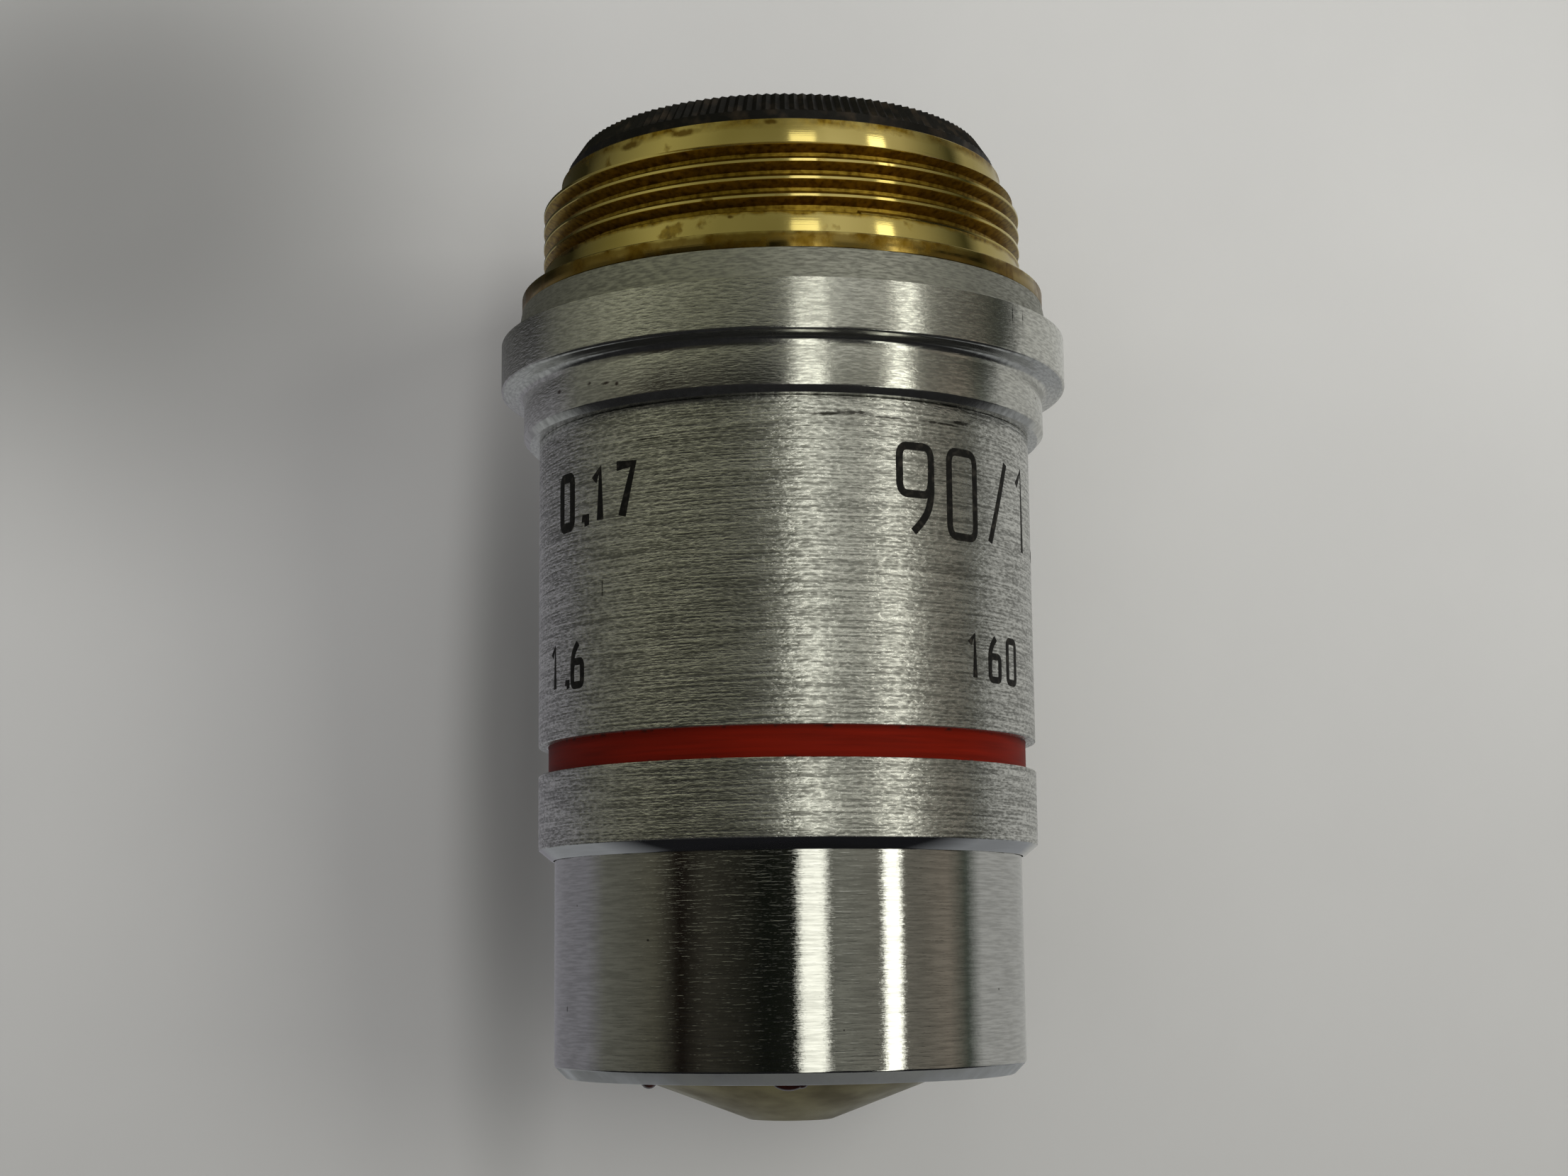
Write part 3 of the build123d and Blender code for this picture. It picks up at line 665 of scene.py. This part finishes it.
def redEnamel(setup):
    # brushed enamel: satin red, a little darker where it is thin, chipped along its edges
    material, tree, coords = newMaterial("redEnamel")
    brush = turnedMarks(tree, coords, setup["brushPitch"], setup["brushStreak"], 2.0)
    thick = addNode(tree, "MapRange", [brush, *wideNoise])
    tint = addNode(tree, "Mix", {0: thick, 6: setup["red"], 7: setup["deep"]}, **inColour)
    height = addNode(tree, "SeparateXYZ", [coords], "Z")
    offset = addNode(tree, "Math", [height, setup["middle"] * mm], operation="SUBTRACT")
    fromMiddle = addNode(tree, "Math", [offset], operation="ABSOLUTE")
    edge = addNode(tree, "MapRange", [fromMiddle, *metres(setup["edge"])])
    flakes = addNode(tree, "TexNoise", {"Vector": coords, "Scale": lumps(setup["chipSize"]), "Detail": 4.0})
    chipped = addNode(tree, "MapRange", [flakes, *setup["chipFrom"]])
    chips = addNode(tree, "Math", [edge, chipped], operation="MULTIPLY")
    tint = addNode(tree, "Mix", {0: chips, 6: tint, 7: setup["chip"]}, **inColour)
    bump = addNode(tree, "Bump", {"Height": brush, "Distance": setup["brushDepth"] * mm})
    closeMaterial(tree, {"Base Color": tint, "Roughness": setup["rough"], "IOR": setup["ior"],
                         "Specular IOR Level": setup["specular"], "Normal": bump})
    return material


addPiece("colourBand", turned(band["outline"]), "body", [redEnamel(band)], ["colour_band"])
print("enamel band made")

# sliding nose, polished, with a satin front edge
nose = {
    "outline": [(8.33, 22.95), (9.58, 22.95), (9.58, 31.72), (9.1, 32.2), (4.58, 32.2), (4.58, 30.7),
                (8.33, 30.7)],
    "breaks": {0.04: [2], 0.03: [3]}, "edgeFrom": 31.75,
    "chrome": {
        "tint": "#d0d0ce", "rough": 0.07, "drawn": 0.4, "pitch": 0.17, "streak": 1.2, "depth": 0.012,
        "glitter": 0.1, "contrast": 0.35,
        "scuffs": [(-66.0, 9.58, 29.4, 0.1, 0.16), (-60.0, 9.58, 25.4, 0.06, 0.05),
                   (-34.0, 9.58, 26.8, 0.08, 0.07), (12.0, 9.58, 30.2, 0.05, 0.05),
                   (58.0, 9.58, 28.8, 0.07, 0.06), (-12.0, 9.58, 24.6, 0.06, 0.05)],
    },
    "edge": {"tint": "#f4f6f8", "rough": 0.56, "drawn": 0.0, "pitch": 0.2, "streak": 1.5, "depth": 0.003,
             "glitter": 0.3, "contrast": 0.2},
}


def makeNose(setup):
    bm = turned(setup["outline"], breaks=setup["breaks"])
    secondFinish(bm, setup["edgeFrom"], math.inf)
    chrome = brightChrome("polishedChrome", setup["chrome"])
    edge = brightChrome("satinChromeEdge", setup["edge"])
    addPiece("noseSleeve", bm, "nose", [chrome, edge], ["nose_sleeve"])


makeNose(nose)
print("nose made")

# front cell: dull cone with the front lens set in its tip
cone = {
    "outline": [(3.6, 29.2), (4.55, 29.2), (4.55, 32.2), (6.05, 32.2), (6.05, 32.3), (1.7, 33.94),
                (0.84, 33.94), (0.95, 33.65), (0.97, 33.45), (0.93, 33.17), (0.75, 32.85), (0.73, 32.84),
                (2.05, 31.62), (3.6, 31.62)],
    "breaks": {0.03: [4, 5]},
    "nickel": "#857a48", "worn": "#6c6034", "wornSize": 0.8, "rough": (0.26, 0.42),
    "feed": 0.1, "feedStreak": 2.0, "feedDepth": 0.002,
}


def dullNickel(setup):
    # thin nickel on brass, gone dull and olive, with turned marks that show as rings on the cone
    material, tree, coords = newMaterial("dullNickelPlate")
    worn = addNode(tree, "TexNoise", {"Vector": coords, "Scale": lumps(setup["wornSize"]), "Detail": 4.0})
    share = addNode(tree, "MapRange", [worn, *midNoise])
    tint = addNode(tree, "Mix", {0: share, 6: setup["nickel"], 7: setup["worn"]}, **inColour)
    rough = addNode(tree, "MapRange", [worn, *wideNoise, *setup["rough"]])
    marks = turnedMarks(tree, coords, setup["feed"], setup["feedStreak"])
    bump = addNode(tree, "Bump", {"Height": marks, "Distance": setup["feedDepth"] * mm})
    closeMaterial(tree, {"Base Color": tint, "Metallic": 1.0, "Roughness": rough, "Normal": bump})
    return material


coneMesh = turned(cone["outline"], breaks=cone["breaks"])
addPiece("frontCell", coneMesh, "nose", [dullNickel(cone)], ["front_cell"])
print("front cell made")

# engraved numbers, filled with black paint: strokes on a grid 0.5 wide and 1 high, smooth ones as NURBS
engraving = {
    "paint": "#0d0c0b", "grainSize": 0.1, "grainDepth": 0.006,
    "dust": "#26231f", "dustSize": 0.12, "dustFrom": (0.52, 0.7),
    "rough": 0.6, "ior": 1.5, "specular": 0.2,
    "proud": 0.006, "narrow": 0.86, "pointStep": 0.62, "longestEdge": 0.3, "cuts": 6, "crisp": 60,
    "lines": [
        {"name": "upperNumbers", "text": "90/1.30", "angle": 25.6, "top": 8.05, "high": 3.35, "stroke": 0.31,
         "step": 2.35},
        {"name": "boldNumbers", "text": "0.17", "angle": -60.0, "top": 8.5, "high": 2.0, "stroke": 0.4,
         "step": 1.4},
        {"name": "lowerNumbers", "text": "160", "angle": 43.5, "top": 15.2, "high": 1.65, "stroke": 0.27,
         "step": 1.35},
        {"name": "sideNumbers", "text": "1.6", "angle": -66.0, "top": 15.2, "high": 1.65, "stroke": 0.3,
         "step": 1.2},
    ],
}
zeroStroke = [(0, .3), (0, .7), (0, 1), (.25, 1), (.5, 1), (.5, .7), (.5, .3), (.5, 0), (.25, 0), (0, 0)]
nineStroke = [(.5, .68), (.5, .44), (.25, .44), (0, .44), (0, .72), (0, 1), (.25, 1), (.5, 1), (.5, .7),
              (.5, .4), (.4, .16), (.2, 0)]
glyphs = {
    "0": [("ring", zeroStroke)],
    "1": [("straight", [(.06, .8), (.27, 1), (.27, 0)])],
    "3": [("smooth", [(0, .84), (0, 1), (.25, 1), (.5, 1), (.5, .77), (.5, .54), (.2, .54)]),
          ("smooth", [(.2, .54), (.5, .54), (.5, .27), (.5, 0), (.25, 0), (0, 0), (0, .16)])],
    "6": [("smooth", [(.5 - x, 1 - y) for x, y in nineStroke])],
    "7": [("straight", [(0, 1), (.5, 1), (.16, 0)])],
    "9": [("smooth", nineStroke)],
    "/": [("straight", [(.02, 0), (.48, 1)])],
    ".": [("straight", [(.2, .02), (.3, .02), (.3, .1), (.2, .1), (.2, .02)])],
}


def blackFill(setup):
    # matt black paint wiped into the cuts, with a little dust in it
    material, tree, coords = newMaterial("blackEngravingPaint")
    dust = addNode(tree, "TexNoise", {"Vector": coords, "Scale": lumps(setup["dustSize"]), "Detail": 3.0})
    dusty = addNode(tree, "MapRange", [dust, *setup["dustFrom"]])
    tint = addNode(tree, "Mix", {0: dusty, 6: setup["paint"], 7: setup["dust"]}, **inColour)
    grain = addNode(tree, "TexNoise", {"Vector": coords, "Scale": lumps(setup["grainSize"]), "Detail": 3.0})
    bump = addNode(tree, "Bump", {"Height": grain, "Distance": setup["grainDepth"] * mm})
    closeMaterial(tree, {"Base Color": tint, "Roughness": setup["rough"], "IOR": setup["ior"],
                         "Specular IOR Level": setup["specular"], "Normal": bump})
    return material


# the numbers of one line as a flat mesh in millimetres
def flatNumbers(line, setup):
    curve = bpy.data.curves.new(line["name"], "CURVE")
    curve.dimensions = "3D"
    curve.bevel_depth = line["stroke"] / 2
    curve.bevel_resolution = 3
    curve.use_fill_caps = True
    curve.resolution_u = 6
    across = 0.0
    for letter in line["text"]:
        for kind, points in glyphs[letter]:
            spline = curve.splines.new("POLY" if kind == "straight" else "NURBS")
            spline.points.add(len(points) - 1)
            for point, (x, y) in zip(spline.points, points):
                point.co = (across + x * line["high"] * setup["narrow"], (y - 1) * line["high"], 0, 1)
            if kind != "straight":
                spline.order_u = 3
                spline.use_endpoint_u = kind == "smooth"
                spline.use_cyclic_u = kind == "ring"
        across += line["step"] * (setup["pointStep"] if letter == "." else 1.0)
    flat = bpy.data.objects.new(line["name"], curve)
    scene.collection.objects.link(flat)
    bpy.context.view_layer.update()
    mesh = bpy.data.meshes.new_from_object(flat.evaluated_get(bpy.context.evaluated_depsgraph_get()))
    bpy.data.objects.remove(flat)
    return mesh


# wraps a line of numbers round the barrel, a little proud of it
def engrave(line, setup, material):
    bm = bmesh.new()
    bm.from_mesh(flatNumbers(line, setup))
    longEdges = [e for e in bm.edges if e.calc_length() > setup["longestEdge"]]
    bmesh.ops.subdivide_edges(bm, edges=longEdges, cuts=setup["cuts"])
    wall = barrel["outline"][1][0]
    for v in bm.verts:
        out = wall + setup["proud"] * 2 * v.co.z / line["stroke"]
        v.co = aroundAxis(line["angle"] + math.degrees(v.co.x / wall), out, line["top"] - v.co.y) * mm
    addPiece(line["name"], bm, "body", [material], crisp=setup["crisp"])


paintFill = blackFill(engraving)
for line in engraving["lines"]:
    engrave(line, engraving, paintFill)
print("numbers engraved")

# drops of locking varnish where the cone meets the nose: angle, radius, sizes along, inwards and up
drops = {
    "varnish": "#1c0805", "thin": "#34100a", "thinSize": 0.25, "thinFrom": (0.45, 0.7),
    "rippleSize": 0.2, "rippleDepth": 0.01, "rough": 0.22, "ior": 1.52, "coat": 0.3,
    "face": 32.2, "crisp": 80,
    "spots": [(-61.0, 6.4, 0.42, 0.34, 0.36), (-0.8, 6.4, 0.62, 0.36, 0.34), (3.6, 6.35, 0.3, 0.3, 0.26),
              (118.0, 6.4, 0.5, 0.34, 0.3)],
}


def shellac(setup):
    # shellac varnish: dark red brown, glossy, lighter where it thins out
    material, tree, coords = newMaterial("shellacVarnish")
    depth = addNode(tree, "TexNoise", {"Vector": coords, "Scale": lumps(setup["thinSize"]), "Detail": 2.0})
    thin = addNode(tree, "MapRange", [depth, *setup["thinFrom"]])
    tint = addNode(tree, "Mix", {0: thin, 6: setup["varnish"], 7: setup["thin"]}, **inColour)
    ripple = addNode(tree, "TexNoise", {"Vector": coords, "Scale": lumps(setup["rippleSize"]), "Detail": 3.0})
    bump = addNode(tree, "Bump", {"Height": ripple, "Distance": setup["rippleDepth"] * mm})
    closeMaterial(tree, {"Base Color": tint, "Roughness": setup["rough"], "IOR": setup["ior"],
                         "Coat Weight": setup["coat"], "Normal": bump})
    return material


def makeDrops(setup):
    bm = bmesh.new()
    for angle, r, along, inwards, up in setup["spots"]:
        shape = Matrix.Diagonal((along * mm, inwards * mm, up * mm, 1))
        place = Matrix.Translation(aroundAxis(angle, r, setup["face"]) * mm)
        turn = Matrix.Rotation(-math.radians(angle), 4, "Z")
        bmesh.ops.create_icosphere(bm, subdivisions=3, radius=1.0, matrix=place @ turn @ shape)
    addPiece("varnishDrops", bm, "nose", [shellac(setup)], crisp=setup["crisp"])


makeDrops(drops)
print("varnish drops made")

# front lens: ball cut flat at the tip
frontLens = {
    "ball": 0.95, "height": 33.45, "face": 33.92, "around": 64, "upward": 40,
    "clear": "#eef4f2", "ior": 1.52, "bloomSize": 0.6, "bloomFrom": (0.45, 0.75), "rough": (0.01, 0.05),
}


def opticalGlass(setup):
    # polished crown glass with a faint bloom of handling
    material, tree, coords = newMaterial("polishedCrownGlass")
    bloom = addNode(tree, "TexNoise", {"Vector": coords, "Scale": lumps(setup["bloomSize"]), "Detail": 3.0})
    rough = addNode(tree, "MapRange", [bloom, *setup["bloomFrom"], *setup["rough"]])
    closeMaterial(tree, {"Base Color": setup["clear"], "Roughness": rough, "IOR": setup["ior"],
                         "Transmission Weight": 1.0})
    return material


glass = opticalGlass(frontLens)


def makeFrontLens(setup):
    bm = bmesh.new()
    place = Matrix.Translation((0, 0, setup["height"] * mm))
    bmesh.ops.create_uvsphere(bm, u_segments=setup["around"], v_segments=setup["upward"],
                              radius=setup["ball"] * mm, matrix=place)
    bmesh.ops.contextual_create(bm, geom=cutPast(bm, setup["face"], 1))
    addPiece("frontLens", bm, "nose", [glass], ["front_lens"])


makeFrontLens(frontLens)
print("front lens made")

# return spring: round wire wound between the rear ring and the lens tube
spring = {
    "wire": 0.6, "mean": 7.3, "rear": -3.1, "front": 5.04, "turns": 5.5, "travel": 2.5, "ground": 0.005,
    "stepsPerTurn": 72, "wireSides": 14, "crisp": 50,
    "steel": "#a6a6a8", "blue": "#6f7076", "temperSize": 1.5, "drawnSize": 0.15, "rough": (0.2, 0.36),
}


def springSteel(setup):
    # bright drawn spring wire: smooth, with a faint blue temper
    material, tree, coords = newMaterial("drawnSpringSteel")
    heat = addNode(tree, "TexNoise", {"Vector": coords, "Scale": lumps(setup["temperSize"]), "Detail": 3.0})
    temper = addNode(tree, "MapRange", [heat, *midNoise])
    tint = addNode(tree, "Mix", {0: temper, 6: setup["steel"], 7: setup["blue"]}, **inColour)
    drawn = addNode(tree, "TexNoise", {"Vector": coords, "Scale": lumps(setup["drawnSize"]), "Detail": 3.0})
    rough = addNode(tree, "MapRange", [drawn, *wideNoise, *setup["rough"]])
    closeMaterial(tree, {"Base Color": tint, "Metallic": 1.0, "Roughness": rough})
    return material


steel = springSteel(spring)


def makeSpring(setup):
    bm = bmesh.new()
    steps = int(setup["stepsPerTurn"] * setup["turns"])
    length = setup["front"] - setup["rear"]
    start = Matrix.Translation((setup["mean"] * mm, 0, setup["rear"] * mm))
    upright = Matrix.Rotation(math.radians(90), 4, "X")
    circle = bmesh.ops.create_circle(bm, segments=setup["wireSides"], radius=setup["wire"] / 2 * mm,
                                     cap_ends=False, matrix=start @ upright)
    bmesh.ops.spin(bm, geom=circle["verts"] + bm.edges[:], cent=(0, 0, 0), axis=(0, 0, 1),
                   angle=2 * math.pi * setup["turns"], steps=steps, dvec=(0, 0, length / steps * mm))
    # both ends are ground flat on their seats
    for height, way in ((setup["rear"] + setup["ground"], -1), (setup["front"] - setup["ground"], 1)):
        bmesh.ops.edgenet_fill(bm, edges=cutPast(bm, height, way))
    piece = addPiece("returnSpring", bm, "body", [steel], ["return_spring"],
                     crisp=setup["crisp"])
    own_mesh(piece)


makeSpring(spring)
print("spring made")

# pieces inside keep their CAD shape
inside = {
    "brass": "#b89a52", "brassDull": "#8f7434", "feed": 0.15, "feedStreak": 4.0, "feedDepth": 0.002,
    "brassRough": (0.22, 0.38),
    "black": "#141312", "blackRough": 0.7, "blackIor": 1.5,
    "blackWorn": "#2c2822", "wornSize": 0.3, "wornFrom": (0.55, 0.75), "wornDepth": 0.004,
}


def innerBrass(setup):
    # turned brass that was never handled: even, with fine feed marks
    material, tree, coords = newMaterial("innerTurnedBrass")
    marks = turnedMarks(tree, coords, setup["feed"], setup["feedStreak"])
    share = addNode(tree, "MapRange", [marks, *wideNoise])
    tint = addNode(tree, "Mix", {0: share, 6: setup["brass"], 7: setup["brassDull"]}, **inColour)
    rough = addNode(tree, "MapRange", [marks, *wideNoise, *setup["brassRough"]])
    bump = addNode(tree, "Bump", {"Height": marks, "Distance": setup["feedDepth"] * mm})
    closeMaterial(tree, {"Base Color": tint, "Metallic": 1.0, "Roughness": rough, "Normal": bump})
    return material


def matteBlack(setup):
    # blackened brass with a matt lacquer that soaks up stray light
    material, tree, coords = newMaterial("matteBlackLacquer")
    wear = addNode(tree, "TexNoise", {"Vector": coords, "Scale": lumps(setup["wornSize"]), "Detail": 4.0})
    worn = addNode(tree, "MapRange", [wear, *setup["wornFrom"]])
    tint = addNode(tree, "Mix", {0: worn, 6: setup["black"], 7: setup["blackWorn"]}, **inColour)
    bump = addNode(tree, "Bump", {"Height": worn, "Distance": setup["wornDepth"] * mm})
    closeMaterial(tree, {"Base Color": tint, "Roughness": setup["blackRough"], "IOR": setup["blackIor"],
                         "Normal": bump})
    return material


finishes = {
    "inner_brass": innerBrass(inside), "black_inside": matteBlack(inside),
    "optical_glass": glass, "spring_steel": steel,
}
for subpart in frame["record"]["subparts"]:
    finish = finishes.get(subpart["material_slot"])
    if finish:
        slots = frame["nodes"][subpart["node"]].data.materials
        slots.clear()
        slots.append(finish)
print("inner pieces finished")
